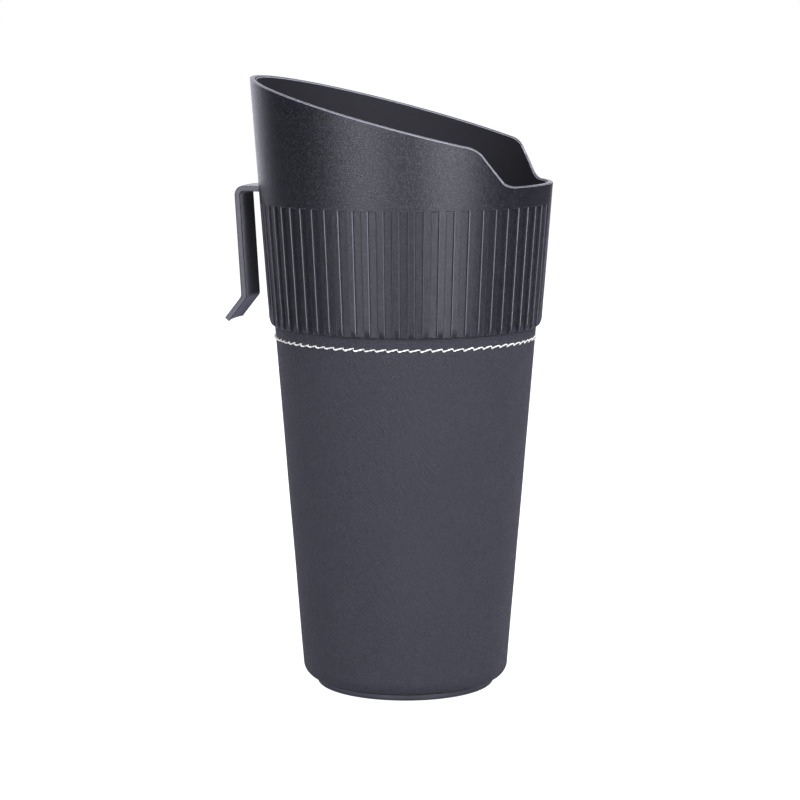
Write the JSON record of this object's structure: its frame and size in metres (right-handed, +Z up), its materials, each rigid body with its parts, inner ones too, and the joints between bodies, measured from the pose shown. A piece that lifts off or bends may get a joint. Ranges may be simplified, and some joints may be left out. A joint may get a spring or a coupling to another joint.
{
  "type": "hanging cup holder",
  "caption": "Tapered cup wrapped in stitched leather, with a ribbed lift-off hood, a slanted mouth with a low lip, and a rear strap hook to hang it by.",
  "frame": {"origin": "centre of the foot pad's underside, on the barrel's axis", "axes": "+Z up along the barrel's axis, +Y to the back where the hook hangs, -Y to the front where the lip is low, +X across"},
  "size_m": [0.1084, 0.1184, 0.22],
  "materials": {
    "hood_plastic": "satin, fine sparked texture with a faint sparkle",
    "hook_plastic": "semi-gloss, smooth",
    "barrel_plastic": "satin",
    "leather": "matte fine grain",
    "thread": "twisted polyester",
    "silicone": "matte",
    "rubber": "matte",
    "steel": "zinc plated"
  },
  "bodies": {
    "cup": {"barrel": "barrel_plastic", "leather_sleeve": "leather", "hem_thread": "thread", "base_cap": "barrel_plastic", "base_screw_1": "steel", "base_screw_2": "steel", "base_screw_3": "steel", "foot_pad": "rubber"},
    "seal": {"seal_ring": "silicone"},
    "top": {"hood": "hood_plastic", "hook": "hook_plastic", "hook_screw_left": "steel", "hook_screw_right": "steel"}
  },
  "joints": [
    {"name": "hood_turn", "type": "hinge", "parent": "cup", "child": "seal", "pos_m": [0, 0, 0.16], "axis": [0, 0, 1], "continuous": true},
    {"name": "hood_lift", "type": "slide", "parent": "seal", "child": "top", "axis": [0, 0, 1], "range_m": [0, 0.05]}
  ]
}
